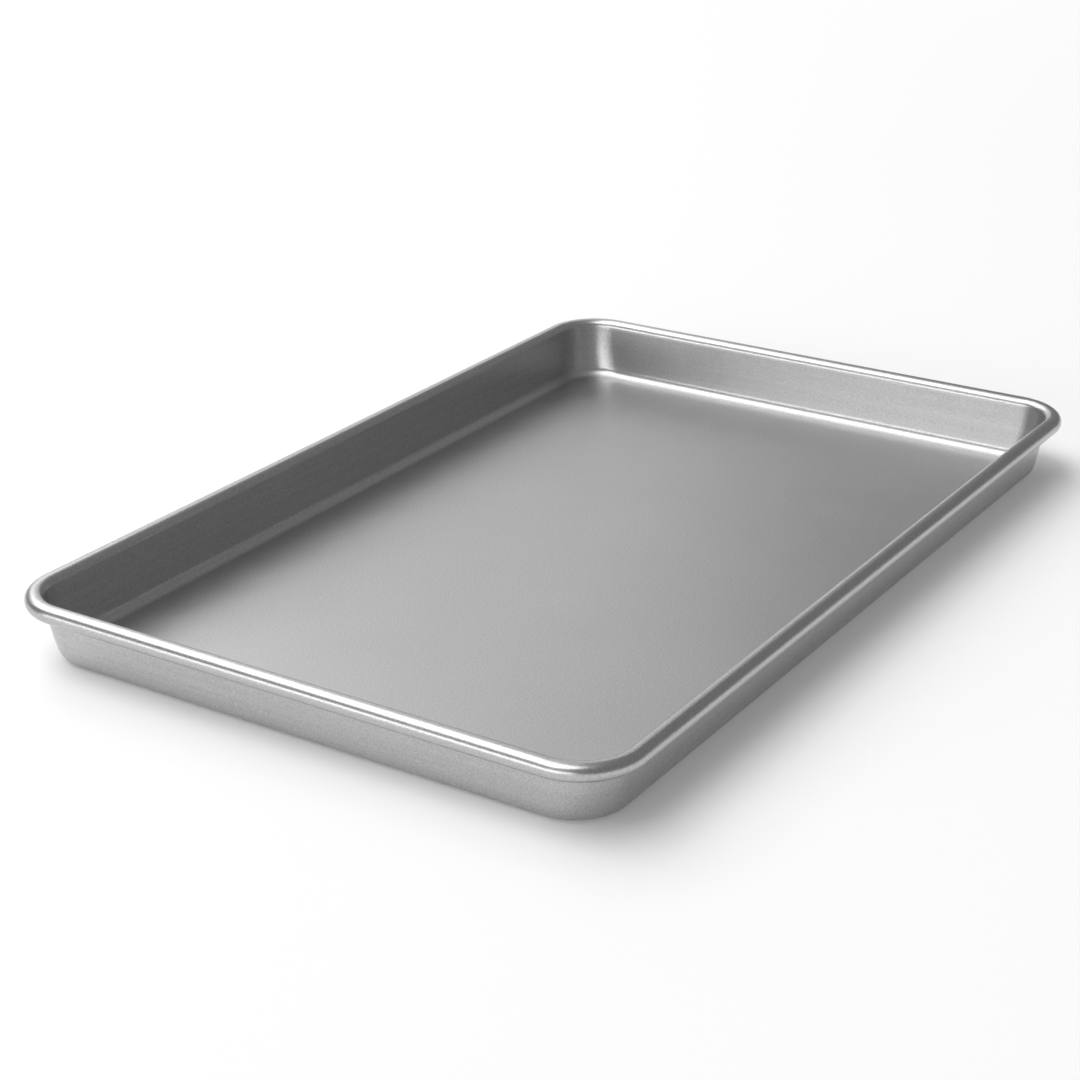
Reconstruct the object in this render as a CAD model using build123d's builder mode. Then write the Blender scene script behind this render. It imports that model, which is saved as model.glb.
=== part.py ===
from build123d import *
from math import cos, radians, sin, tan
import os

os.makedirs("parts", exist_ok=True)

# The frame: +X along the length, +Y across, +Z up. The origin is the middle of the flat underside.

# Outside size, over the curled rim
pan_length = 400.0
pan_width = 260.0
pan_height = 27.0
rim_corner_radius = 25.0

# The drawn sheet. The lean is the angle of the walls from upright.
sheet_thickness = 0.7
wall_lean = 6.6
base_corner_radius = 21.0
base_bend_radius = 5.0

# The wire, and the curl that is rolled round it. The tail is the sheet's cut edge, tucked in beside the wall.
wire_diameter = 5.0
wire_clearance = 0.1
wire_end_gap = 0.5
tail_angle = 25.0
tail_gap = 0.3

# The overrun of the cut that parts the wire's two ends
cut_overrun = 2.0

lean = radians(wall_lean)
tail = radians(tail_angle)

# The curl in section: two bends joined by a flat top, which is just wide enough for the tail to fit by the wall
curl_bore = wire_diameter / 2 + wire_clearance
curl_radius = curl_bore + sheet_thickness
curl_flat = (curl_radius * cos(tail) - curl_bore + tail_gap) / cos(lean)

# The rim's line is the centre line of the wire
rim_half_length = pan_length / 2 - curl_radius
rim_half_width = pan_width / 2 - curl_radius
rim_line_radius = rim_corner_radius - curl_radius
rim_line_height = pan_height - curl_radius

# How far the two faces of the leaning wall lie inside that line, at the line's own height
outer_face_inset = curl_flat + curl_bore / cos(lean)
inner_face_inset = curl_flat + curl_radius / cos(lean)
level_thickness = inner_face_inset - outer_face_inset


def outer_corner_radius(height):
    """Plan radius of the wall's outer face, which goes evenly from the base's own radius to the rim's."""
    radius_at_rim = rim_line_radius - outer_face_inset
    return base_corner_radius + (radius_at_rim - base_corner_radius) * height / rim_line_height


def wall_outline(face_inset, height, corner_radius):
    """Length, width and corner radius of one face of the wall at this height."""
    inset = face_inset + (rim_line_height - height) * tan(lean)
    return 2 * (rim_half_length - inset), 2 * (rim_half_width - inset), corner_radius


def outer_outline(height):
    return wall_outline(outer_face_inset, height, outer_corner_radius(height))


def inner_outline(height):
    return wall_outline(inner_face_inset, height, outer_corner_radius(height) - level_thickness)


# The rim's line is a rounded rectangle. Sections that follow it stand on its start, X outwards and Y up.
with BuildLine(Plane.XY.offset(rim_line_height)) as rim_line:
    FilletPolyline(
        (-rim_half_length, -rim_half_width),
        (rim_half_length, -rim_half_width),
        (rim_half_length, rim_half_width),
        (-rim_half_length, rim_half_width),
        radius=rim_line_radius,
        close=True,
    )
rim_path = rim_line.wire()
travel = rim_path % 0
outwards = travel.cross(Vector(Axis.Z.direction))
section_plane = Plane(origin=rim_path @ 0, x_dir=outwards, z_dir=-travel)

# The space inside the tray, up to the height of the wire's centre, one sheet thickness in from the outside
with BuildPart() as tray_space:
    with BuildSketch(Plane.XY.offset(sheet_thickness)):
        RectangleRounded(*inner_outline(sheet_thickness))
    with BuildSketch(Plane.XY.offset(rim_line_height)):
        RectangleRounded(*inner_outline(rim_line_height))
    loft(ruled=True)
    fillet(tray_space.edges().group_by(Axis.Z)[0], radius=base_bend_radius - sheet_thickness)

# Drawn sheet of coated steel: flat floor, bend, leaning walls and the curl, all in one piece
with BuildPart() as pan_shell:
    # Outside of the tray, with the space inside it taken out
    with BuildSketch(Plane.XY):
        RectangleRounded(*outer_outline(0))
    with BuildSketch(Plane.XY.offset(rim_line_height)):
        RectangleRounded(*outer_outline(rim_line_height))
    loft(ruled=True)
    fillet(pan_shell.edges().group_by(Axis.Z)[0], radius=base_bend_radius)
    add(tray_space.part, mode=Mode.SUBTRACT)

    # The curl, from the top of the straight wall over the wire and round under it to the cut edge
    with BuildSketch(section_plane):
        with BuildLine():
            inner_bend = CenterArc((-curl_flat, 0), curl_radius, 90, 90 - wall_lean)
            outer_roll = CenterArc((0, 0), curl_radius, 90, tail_angle - wall_lean - 270)
            Line(inner_bend @ 0, outer_roll @ 0)
            bore_roll = CenterArc((0, 0), curl_bore, 90, tail_angle - wall_lean - 270)
            Line(outer_roll @ 1, bore_roll @ 1)
            bore_bend = CenterArc((-curl_flat, 0), curl_bore, 90, 90 - wall_lean)
            Line(bore_roll @ 0, bore_bend @ 0)
            Polyline(bore_bend @ 1, (-outer_face_inset, 0), (-inner_face_inset, 0), inner_bend @ 1)
        make_face()
    sweep(path=rim_path)
pan_shell.part.label = "pan_shell"
export_step(pan_shell.part, "parts/pan_shell.step")

# Round steel wire bent to the rim's line, its ends butted at the middle of the back
with BuildPart() as rim_wire:
    with BuildSketch(section_plane):
        Circle(wire_diameter / 2)
    sweep(path=rim_path)
    with Locations((0, rim_half_width, rim_line_height)):
        Box(wire_end_gap, wire_diameter + cut_overrun, wire_diameter + cut_overrun, mode=Mode.SUBTRACT)
rim_wire.part.label = "rim_wire"
export_step(rim_wire.part, "parts/rim_wire.step")
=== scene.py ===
import math

import bpy
import numpy as np
from mathutils import Matrix, Vector


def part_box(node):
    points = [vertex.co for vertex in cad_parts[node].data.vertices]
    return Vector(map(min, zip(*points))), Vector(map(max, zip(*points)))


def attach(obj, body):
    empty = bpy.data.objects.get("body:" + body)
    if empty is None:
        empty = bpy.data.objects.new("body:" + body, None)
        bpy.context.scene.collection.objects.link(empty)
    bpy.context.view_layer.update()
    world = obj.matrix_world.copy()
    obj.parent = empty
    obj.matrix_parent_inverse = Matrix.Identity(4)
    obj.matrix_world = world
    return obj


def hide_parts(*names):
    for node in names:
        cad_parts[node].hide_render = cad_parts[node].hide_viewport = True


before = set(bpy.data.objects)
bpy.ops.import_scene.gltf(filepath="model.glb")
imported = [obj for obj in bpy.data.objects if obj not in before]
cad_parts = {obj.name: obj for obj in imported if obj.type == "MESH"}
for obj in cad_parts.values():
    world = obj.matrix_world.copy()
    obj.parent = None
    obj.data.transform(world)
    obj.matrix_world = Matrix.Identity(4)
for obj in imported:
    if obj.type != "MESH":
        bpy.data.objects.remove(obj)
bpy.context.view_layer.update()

# The pan itself: one sheet of steel, deep drawn into a floor and four leaning walls.
# Its edge is curled outwards over a wire, and the whole sheet carries a satin grey metallic non-stick coat.
shell_low, shell_high = (np.array(corner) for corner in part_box("pan_shell"))
half_length, half_width, pan_height = shell_high
rim_corner_radius = 0.025
base_corner_radius = 0.021
base_bend_radius = 0.005
sheet_thickness = 0.0007
wall_lean = math.radians(6.6)
curl_bore = 0.0026
tail_angle = math.radians(25)
tail_gap = 0.0003

curl_radius = curl_bore + sheet_thickness
curl_flat = (curl_radius * math.cos(tail_angle) - curl_bore + tail_gap) / math.cos(wall_lean)
rim_line_radius = rim_corner_radius - curl_radius
rim_line_height = pan_height - curl_radius
outer_face_inset = curl_flat + curl_bore / math.cos(wall_lean)
inner_face_inset = curl_flat + curl_radius / math.cos(wall_lean)
bend_inset = (
    outer_face_inset
    + (rim_line_height - base_bend_radius) * math.tan(wall_lean)
    + base_bend_radius / math.cos(wall_lean)
)


def face_inset_at(face_inset, height):
    """How far inside the rim's line a wall face lies: its inset at the line, plus the drop times tan."""
    return face_inset + (rim_line_height - height) * math.tan(wall_lean)


def face_corner_radius(face_inset, height):
    """Plan radius of a face: concentric with the rim, plus a share that grows with the drop squared."""
    concentric = rim_line_radius - face_inset_at(face_inset, height)
    growth = base_corner_radius - (rim_line_radius - face_inset_at(outer_face_inset, 0.0))
    return concentric + growth * (1 - height / rim_line_height) ** 2


def profile_rows(face_inset, inset, height):
    """Rows of (inset, corner radius, height). A point keeps its distance from the wall's face at corners."""
    inset = np.atleast_1d(inset).astype(float)
    height = np.atleast_1d(height).astype(float)
    inset, height = np.broadcast_arrays(inset, height)
    radius = face_corner_radius(face_inset, height) - (inset - face_inset_at(face_inset, height))
    return np.stack([inset, radius, height], axis=-1)


def wall_rows(face_inset, heights):
    """The straight stretch of one face of the wall: a line that leans outwards as it climbs."""
    return profile_rows(face_inset, face_inset_at(face_inset, heights), heights)


def bend_rows(face_inset, radius, turns):
    """The bend from floor to wall: an arc about one centre, turned from straight down towards the wall."""
    inset = bend_inset - radius * np.sin(turns)
    height = base_bend_radius - radius * np.cos(turns)
    return profile_rows(face_inset, inset, height)


def curl_rows(centre, radius, angles):
    """An arc of the curl: centre plus radius at these angles, outwards and up, all round the rim's line."""
    outwards = centre + radius * np.cos(angles)
    height = rim_line_height + radius * np.sin(angles)
    return np.stack([-outwards, rim_line_radius + outwards, height], axis=-1)


bend_steps = 12
wall_steps = 12
roll_steps = 48
bore_steps = 32
bend_turns = np.linspace(0, math.pi / 2 - wall_lean, bend_steps + 1)
bend_top = base_bend_radius * (1 - math.sin(wall_lean))
inner_bend_top = base_bend_radius - (base_bend_radius - sheet_thickness) * math.sin(wall_lean)
wall_share = np.linspace(0, 1, wall_steps + 1)[1:-1]
inner_tangent = rim_line_height + curl_radius * math.sin(wall_lean)
outer_tangent = rim_line_height + curl_bore * math.sin(wall_lean)
tail_end = -math.pi + tail_angle - wall_lean
top_bend_angles = np.linspace(math.pi - wall_lean, math.pi / 2, 11)
roll_angles = np.linspace(math.pi / 2, tail_end, roll_steps + 1)
edge_depths = curl_radius - sheet_thickness * np.array([0.08, 0.5, 0.92])
bore_angles = np.linspace(tail_end, math.pi / 2, bore_steps + 1)
bore_top_angles = np.linspace(math.pi / 2, math.pi - wall_lean, 9)
section = np.concatenate([
    bend_rows(inner_face_inset, base_bend_radius - sheet_thickness, bend_turns),
    wall_rows(inner_face_inset, inner_bend_top + (inner_tangent - inner_bend_top) * wall_share),
    curl_rows(-curl_flat, curl_radius, top_bend_angles),
    curl_rows(0.0, curl_radius, roll_angles),
    curl_rows(0.0, edge_depths, np.full(3, tail_end)),
    curl_rows(0.0, curl_bore, bore_angles),
    curl_rows(-curl_flat, curl_bore, bore_top_angles),
    wall_rows(outer_face_inset, bend_top + (outer_tangent - bend_top) * wall_share[::-1]),
    bend_rows(outer_face_inset, base_bend_radius, bend_turns[::-1]),
])

corner_steps = 28
long_steps = 60
short_steps = 40


def rounded_outline(rows):
    """Rings round the pan: each corner is an arc about its own centre, each side a straight run between."""
    inset, radius, height = rows[:, 0:1], rows[:, 1:2], rows[:, 2:3]
    reach_x = half_length - curl_radius - inset - radius
    reach_y = half_width - curl_radius - inset - radius
    stretches = []
    signs = ((1, 1, short_steps), (-1, 1, long_steps), (-1, -1, short_steps), (1, -1, long_steps))
    for turn, (sign_x, sign_y, side_steps) in enumerate(signs):
        side = np.linspace(0, 1, side_steps + 1)[None, 1:-1]
        before = signs[turn - 1]
        side_x = reach_x * (before[0] + (sign_x - before[0]) * side) + radius * (turn % 2 == 0) * sign_x
        side_y = reach_y * (before[1] + (sign_y - before[1]) * side) + radius * (turn % 2 == 1) * sign_y
        stretches.append(np.stack([side_x, side_y], axis=-1))
        angle = turn * math.pi / 2 + np.linspace(0, math.pi / 2, corner_steps + 1)[None]
        arc_x = sign_x * reach_x + radius * np.cos(angle)
        arc_y = sign_y * reach_y + radius * np.sin(angle)
        stretches.append(np.stack([arc_x, arc_y], axis=-1))
    plan = np.concatenate(stretches, axis=1)
    return np.concatenate([plan, np.broadcast_to(height[..., None], (*plan.shape[:2], 1))], axis=-1)


rings = rounded_outline(section)
floor_shares = np.array([0.2, 0.4, 0.6, 0.75, 0.87, 0.95, 0.985, 0.998])[:, None, None]
centre_shares = np.array([1.0, 1.0, 0.0])
inner_floor = rings[0] * (floor_shares * centre_shares) + rings[0] * (1 - centre_shares)
underside = rings[-1] * (floor_shares[::-1] * centre_shares) + rings[-1] * (1 - centre_shares)
rings = np.concatenate([inner_floor, rings, underside])

ring_count, round_count = rings.shape[:2]
poles = np.array([[0, 0, sheet_thickness], [0, 0, 0]])
points = np.concatenate([rings.reshape(-1, 3), poles])
ring = np.arange(ring_count - 1)[:, None]
step = np.arange(round_count)[None]
after = (step + 1) % round_count
quads = np.stack([
    ring * round_count + step,
    (ring + 1) * round_count + step,
    (ring + 1) * round_count + after,
    ring * round_count + after,
], axis=-1).reshape(-1, 4)
last_ring = (ring_count - 1) * round_count
inner_pole = np.full(round_count, len(points) - 2)
inner_fan = np.stack([inner_pole, step[0], after[0]], axis=-1)
under_pole = np.full(round_count, len(points) - 1)
under_fan = np.stack([under_pole, last_ring + after[0], last_ring + step[0]], axis=-1)


def shaded_mesh(name, vertices, faces):
    """A mesh from whole arrays of points and faces, smooth shaded, as an object at the origin."""
    mesh = bpy.data.meshes.new(name)
    mesh.from_pydata(vertices.tolist(), [], faces)
    mesh.polygons.foreach_set("use_smooth", np.ones(len(mesh.polygons), dtype=bool))
    mesh.validate()
    mesh.update()
    thing = bpy.data.objects.new(name, mesh)
    bpy.context.scene.collection.objects.link(thing)
    return thing


sheet = shaded_mesh("drawn_sheet", points, inner_fan.tolist() + under_fan.tolist() + quads.tolist())


def noise_node(nodes, links, vector, scale, detail, roughness):
    """A noise texture read at this vector."""
    node = nodes.new("ShaderNodeTexNoise")
    node.inputs["Scale"].default_value = scale
    node.inputs["Detail"].default_value = detail
    node.inputs["Roughness"].default_value = roughness
    links.new(vector, node.inputs["Vector"])
    return node.outputs["Fac"]


def value_range(nodes, links, value, low, high, from_low=0.0, from_high=1.0):
    """The value carried evenly from one range to another, held at both ends."""
    node = nodes.new("ShaderNodeMapRange")
    node.inputs["From Min"].default_value = from_low
    node.inputs["From Max"].default_value = from_high
    node.inputs["To Min"].default_value = low
    node.inputs["To Max"].default_value = high
    links.new(value, node.inputs["Value"])
    return node.outputs["Result"]


def grey_ramp(nodes, links, value, dark, light):
    """A grey between two tones of one colour."""
    node = nodes.new("ShaderNodeMix")
    node.data_type = "RGBA"
    node.inputs["A"].default_value = (*dark, 1)
    node.inputs["B"].default_value = (*light, 1)
    links.new(value, node.inputs["Factor"])
    return node.outputs["Result"]


coat_dark = (0.4, 0.4, 0.403)
coat_light = (0.6, 0.6, 0.603)
flakes_per_metre = 1500
clouds_per_metre = 60
draw_line_scale = (5, 5, 420)


def coated_steel():
    """Satin grey metallic coat: a sparkling grain of flakes, and faint lines round the walls."""
    material = bpy.data.materials.new("coated_steel")
    material.use_nodes = True
    nodes, links = material.node_tree.nodes, material.node_tree.links
    shader = nodes["Principled BSDF"]
    place = nodes.new("ShaderNodeTexCoord").outputs["Object"]
    grain = noise_node(nodes, links, place, flakes_per_metre, 2, 0.7)
    cloud = noise_node(nodes, links, place, clouds_per_metre, 3, 0.5)
    drawn = nodes.new("ShaderNodeMapping")
    drawn.inputs["Scale"].default_value = draw_line_scale
    links.new(place, drawn.inputs["Vector"])
    draw_lines = noise_node(nodes, links, drawn.outputs["Vector"], 1.0, 3, 0.6)
    tone = nodes.new("ShaderNodeMath")
    tone.operation = "MULTIPLY_ADD"
    tone.inputs[1].default_value = 0.75
    links.new(value_range(nodes, links, grain, 0, 1, 0.32, 0.68), tone.inputs[0])
    links.new(value_range(nodes, links, draw_lines, 0, 0.25, 0.3, 0.7), tone.inputs[2])
    colour = grey_ramp(nodes, links, tone.outputs["Value"], coat_dark, coat_light)
    links.new(colour, shader.inputs["Base Color"])
    height = nodes.new("ShaderNodeSeparateXYZ")
    links.new(place, height.inputs["Vector"])
    smoothed = nodes.new("ShaderNodeMath")
    smoothed.operation = "MULTIPLY"
    links.new(value_range(nodes, links, cloud, 0.345, 0.375, 0.3, 0.7), smoothed.inputs[0])
    links.new(value_range(nodes, links, height.outputs["Z"], 1.0, 0.88, 0.001, 0.006), smoothed.inputs[1])
    links.new(smoothed.outputs["Value"], shader.inputs["Roughness"])
    shader.inputs["Metallic"].default_value = 1.0
    bump = nodes.new("ShaderNodeBump")
    bump.inputs["Strength"].default_value = 0.3
    bump.inputs["Distance"].default_value = 0.0001
    links.new(grain, bump.inputs["Height"])
    links.new(bump.outputs["Normal"], shader.inputs["Normal"])
    return material


sheet.data.materials.append(coated_steel())
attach(sheet, "root")
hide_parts("pan_shell")

# The wire in the rim: one length of drawn steel wire, bent to a rounded rectangle.
# It is closed inside the curl, bare of any coat, and only gives the rim its round, stiff edge.


def drawn_wire():
    """Bright drawn wire, mottled by fine scratches in its colour and gloss."""
    material = bpy.data.materials.new("drawn_wire")
    material.use_nodes = True
    nodes, links = material.node_tree.nodes, material.node_tree.links
    shader = nodes["Principled BSDF"]
    place = nodes.new("ShaderNodeTexCoord").outputs["Object"]
    scratch = noise_node(nodes, links, place, 900, 3, 0.6)
    colour = grey_ramp(nodes, links, scratch, (0.42, 0.42, 0.43), (0.58, 0.58, 0.59))
    links.new(colour, shader.inputs["Base Color"])
    links.new(value_range(nodes, links, scratch, 0.25, 0.4), shader.inputs["Roughness"])
    shader.inputs["Metallic"].default_value = 1.0
    return material


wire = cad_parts["rim_wire"]
wire.data.materials.clear()
wire.data.materials.append(drawn_wire())

# The table: a wide white sweep of matt studio paper that the pan stands on.
# It reads as pure white round the pan, to the eye and in the coat's reflections, and keeps the soft shadow.
table_reach = 6.0
table_corners = np.array([(-1, -1, 0), (1, -1, 0), (1, 1, 0), (-1, 1, 0)]) * table_reach
table_mesh = bpy.data.meshes.new("table")
table_mesh.from_pydata(table_corners.tolist(), [], [(0, 1, 2, 3)])
table = bpy.data.objects.new("table", table_mesh)
bpy.context.scene.collection.objects.link(table)


def ray_switch(nodes, links):
    """One for rays from the eye, from a gloss or through glass, and nought for rays that carry light."""
    light_path = nodes.new("ShaderNodeLightPath")
    seen = light_path.outputs["Is Camera Ray"]
    for output in ("Is Glossy Ray", "Is Transmission Ray"):
        either = nodes.new("ShaderNodeMath")
        either.operation = "MAXIMUM"
        links.new(seen, either.inputs[0])
        links.new(light_path.outputs[output], either.inputs[1])
        seen = either.outputs["Value"]
    return seen


def white_paper():
    """Matt white paper near the pan. Far from it the paper is plain white to the eye and in a gloss."""
    material = bpy.data.materials.new("white_paper")
    material.use_nodes = True
    nodes, links = material.node_tree.nodes, material.node_tree.links
    shader = nodes["Principled BSDF"]
    place = nodes.new("ShaderNodeTexCoord").outputs["Object"]
    distance = nodes.new("ShaderNodeVectorMath")
    distance.operation = "LENGTH"
    links.new(place, distance.inputs[0])
    far = value_range(nodes, links, distance.outputs["Value"], 0.0, 1.0, 0.7, 1.8)
    links.new(grey_ramp(nodes, links, far, (0.89, 0.89, 0.89), (0.0, 0.0, 0.0)), shader.inputs["Base Color"])
    shader.inputs["Roughness"].default_value = 1.0
    shader.inputs["Specular IOR Level"].default_value = 0.0
    shader.inputs["Emission Color"].default_value = (1, 1, 1, 1)
    glow = nodes.new("ShaderNodeMath")
    glow.operation = "MULTIPLY"
    links.new(ray_switch(nodes, links), glow.inputs[0])
    links.new(value_range(nodes, links, far, 0.1, 1.0), glow.inputs[1])
    links.new(glow.outputs["Value"], shader.inputs["Emission Strength"])
    return material


table_mesh.materials.append(white_paper())

# The light: softboxes at the pan's left and overhead, a low strip before its near end,
# a pale card behind it and a dim grey room round them all.
# The right side stays unlit, so the coat goes dark there and the soft shadow falls that way.


def softbox(name, heading, climb, distance, width, height, brightness):
    """A soft panel this far from the pan, seen from it at this heading and climb in degrees."""
    heading, climb = math.radians(heading), math.radians(climb)
    level = math.cos(climb)
    away = Vector((level * math.cos(heading), level * math.sin(heading), math.sin(climb)))
    panel = bpy.data.lights.new(name, "AREA")
    panel.shape = "RECTANGLE"
    panel.size = width
    panel.size_y = height
    panel.energy = math.pi * width * height * brightness
    stand = bpy.data.objects.new(name, panel)
    facing = away.to_track_quat("Z", "Y").to_matrix().to_4x4()
    stand.matrix_world = Matrix.Translation(away * distance) @ facing
    stand.visible_camera = False
    bpy.context.scene.collection.objects.link(stand)


softbox("left_softbox", 75, 45, 5.0, 4.0, 3.0, 2.46)
softbox("overhead_softbox", 138, 67, 5.0, 4.5, 3.5, 2.9)
softbox("back_card", 46, 22, 5.0, 3.2, 3.3, 0.66)
softbox("front_strip", 168, 11, 5.0, 6.4, 1.5, 3.0)

world = bpy.data.worlds.new("studio")
bpy.context.scene.world = world
world.use_nodes = True
world_nodes, world_links = world.node_tree.nodes, world.node_tree.links
# Past the table's edge the room is white to the eye alone. Light and reflections get its dim grey.
room_light = 0.25
seen_by_eye = world_nodes.new("ShaderNodeLightPath").outputs["Is Camera Ray"]
room_strength = value_range(world_nodes, world_links, seen_by_eye, room_light, 1.0)
world_links.new(room_strength, world_nodes["Background"].inputs["Strength"])
world_nodes["Background"].inputs["Color"].default_value = (1, 1, 1, 1)

# The camera stands off the pan's near corner and looks down across it, as in the photograph.
# Its place, turn and lens were found by fitting the pan's outline, and it needs no shift.
look_at = Vector((0.0004, 0.0238, 0.0))
camera_distance = 0.9482
camera_heading = math.radians(33.018)
camera_dip = math.radians(23.255)
camera_roll = math.radians(-0.396)
view_line = Vector((
    math.cos(camera_dip) * math.cos(camera_heading),
    math.cos(camera_dip) * math.sin(camera_heading),
    -math.sin(camera_dip),
))
camera_data = bpy.data.cameras.new("camera")
camera_data.sensor_width = 36
camera_data.lens = 76.79
camera = bpy.data.objects.new("camera", camera_data)
bpy.context.scene.collection.objects.link(camera)
camera.matrix_world = (
    Matrix.Translation(look_at - view_line * camera_distance)
    @ view_line.to_track_quat("-Z", "Y").to_matrix().to_4x4()
    @ Matrix.Rotation(camera_roll, 4, "Z")
)
bpy.context.scene.camera = camera
bpy.context.scene.view_settings.view_transform = "Standard"
